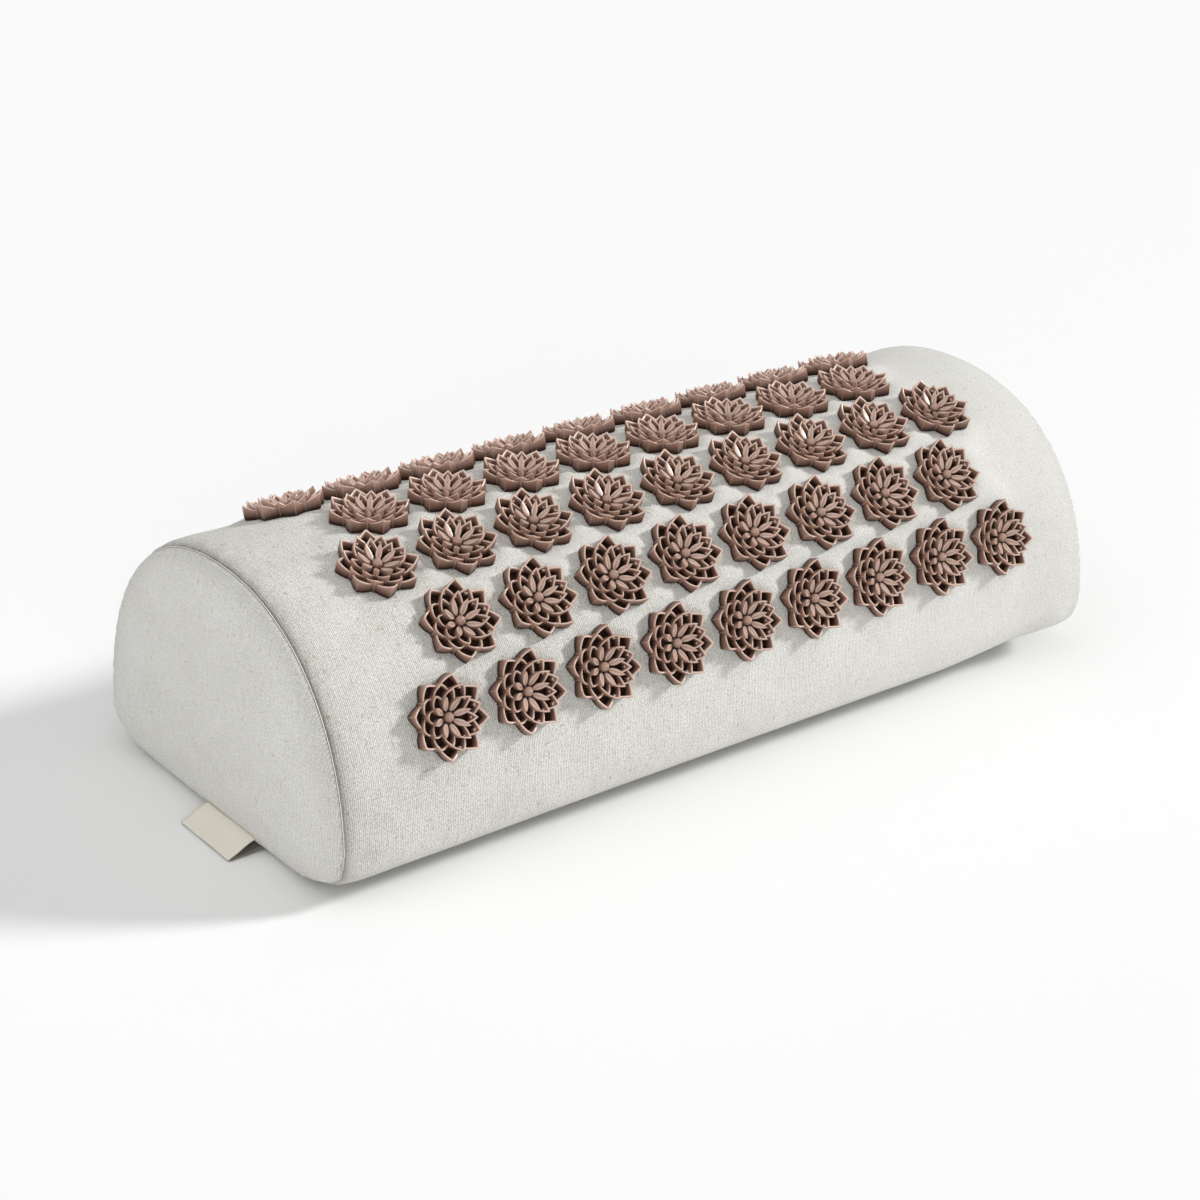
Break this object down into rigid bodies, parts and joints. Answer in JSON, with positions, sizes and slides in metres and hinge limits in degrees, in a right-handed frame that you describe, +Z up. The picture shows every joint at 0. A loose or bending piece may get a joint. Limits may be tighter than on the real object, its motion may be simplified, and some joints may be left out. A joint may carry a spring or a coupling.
{
  "type": "acupressure pillow",
  "caption": "Half-moon acupressure pillow: a foam bolster in a removable linen cover, with rows of lotus-shaped spike discs over its crown, a side label and a zip in the rear wall.",
  "frame": {"origin": "middle of the flat base, on the floor", "axes": "+X along the pillow, with the side label at the -X end; -Y the front, +Y the wall with the zip; +Z up"},
  "size_m": [0.4012, 0.1726, 0.1157],
  "materials": {
    "linen": "oatmeal plain weave with brown and olive flecks",
    "lotus_plastic": "satin moulded brown-mauve plastic",
    "label_tape": "bare woven tape",
    "core_foam": null,
    "zip_tape": "woven polyester tape",
    "zip_coil": "nylon coil",
    "zip_metal": "dull nickel"
  },
  "bodies": {
    "pillow": {"bottom_stop": "zip_metal", "end_panel_left": "linen", "end_panel_right": "linen", "foam_core": "core_foam", "lotus_disc_1_1": "lotus_plastic", "lotus_disc_1_2": "lotus_plastic", "lotus_disc_1_3": "lotus_plastic", "lotus_disc_1_4": "lotus_plastic", "lotus_disc_1_5": "lotus_plastic", "lotus_disc_1_6": "lotus_plastic", "lotus_disc_1_7": "lotus_plastic", "lotus_disc_1_8": "lotus_plastic", "lotus_disc_1_9": "lotus_plastic", "lotus_disc_2_1": "lotus_plastic", "lotus_disc_2_2": "lotus_plastic", "lotus_disc_2_3": "lotus_plastic", "lotus_disc_2_4": "lotus_plastic", "lotus_disc_2_5": "lotus_plastic", "lotus_disc_2_6": "lotus_plastic", "lotus_disc_2_7": "lotus_plastic", "lotus_disc_2_8": "lotus_plastic", "lotus_disc_3_1": "lotus_plastic", "lotus_disc_3_2": "lotus_plastic", "lotus_disc_3_3": "lotus_plastic", "lotus_disc_3_4": "lotus_plastic", "lotus_disc_3_5": "lotus_plastic", "lotus_disc_3_6": "lotus_plastic", "lotus_disc_3_7": "lotus_plastic", "lotus_disc_3_8": "lotus_plastic", "lotus_disc_3_9": "lotus_plastic", "lotus_disc_4_1": "lotus_plastic", "lotus_disc_4_2": "lotus_plastic", "lotus_disc_4_3": "lotus_plastic", "lotus_disc_4_4": "lotus_plastic", "lotus_disc_4_5": "lotus_plastic", "lotus_disc_4_6": "lotus_plastic", "lotus_disc_4_7": "lotus_plastic", "lotus_disc_4_8": "lotus_plastic", "lotus_disc_5_1": "lotus_plastic", "lotus_disc_5_2": "lotus_plastic", "lotus_disc_5_3": "lotus_plastic", "lotus_disc_5_4": "lotus_plastic", "lotus_disc_5_5": "lotus_plastic", "lotus_disc_5_6": "lotus_plastic", "lotus_disc_5_7": "lotus_plastic", "lotus_disc_5_8": "lotus_plastic", "lotus_disc_5_9": "lotus_plastic", "lotus_disc_row_6": "lotus_plastic", "lotus_disc_row_7": "lotus_plastic", "side_label": "label_tape", "top_stop_lower": "zip_metal", "top_stop_upper": "zip_metal", "wrap_panel": "linen", "zip_coil_lower": "zip_coil", "zip_coil_upper": "zip_coil", "zip_tape_lower": "zip_tape", "zip_tape_upper": "zip_tape"},
    "slider": {"zip_slider": "zip_metal"},
    "pull": {"zip_pull": "zip_metal"}
  },
  "joints": [
    {"name": "zip_slide", "type": "slide", "parent": "pillow", "child": "slider", "axis": [-1, 0, 0], "range_m": [0, 0.2792]},
    {"name": "pull_hinge", "type": "hinge", "parent": "slider", "child": "pull", "pos_m": [0.1396, 0.08525, 0.02711], "axis": [0, 0.0789, -0.9969], "range_deg": [0, 180]}
  ]
}
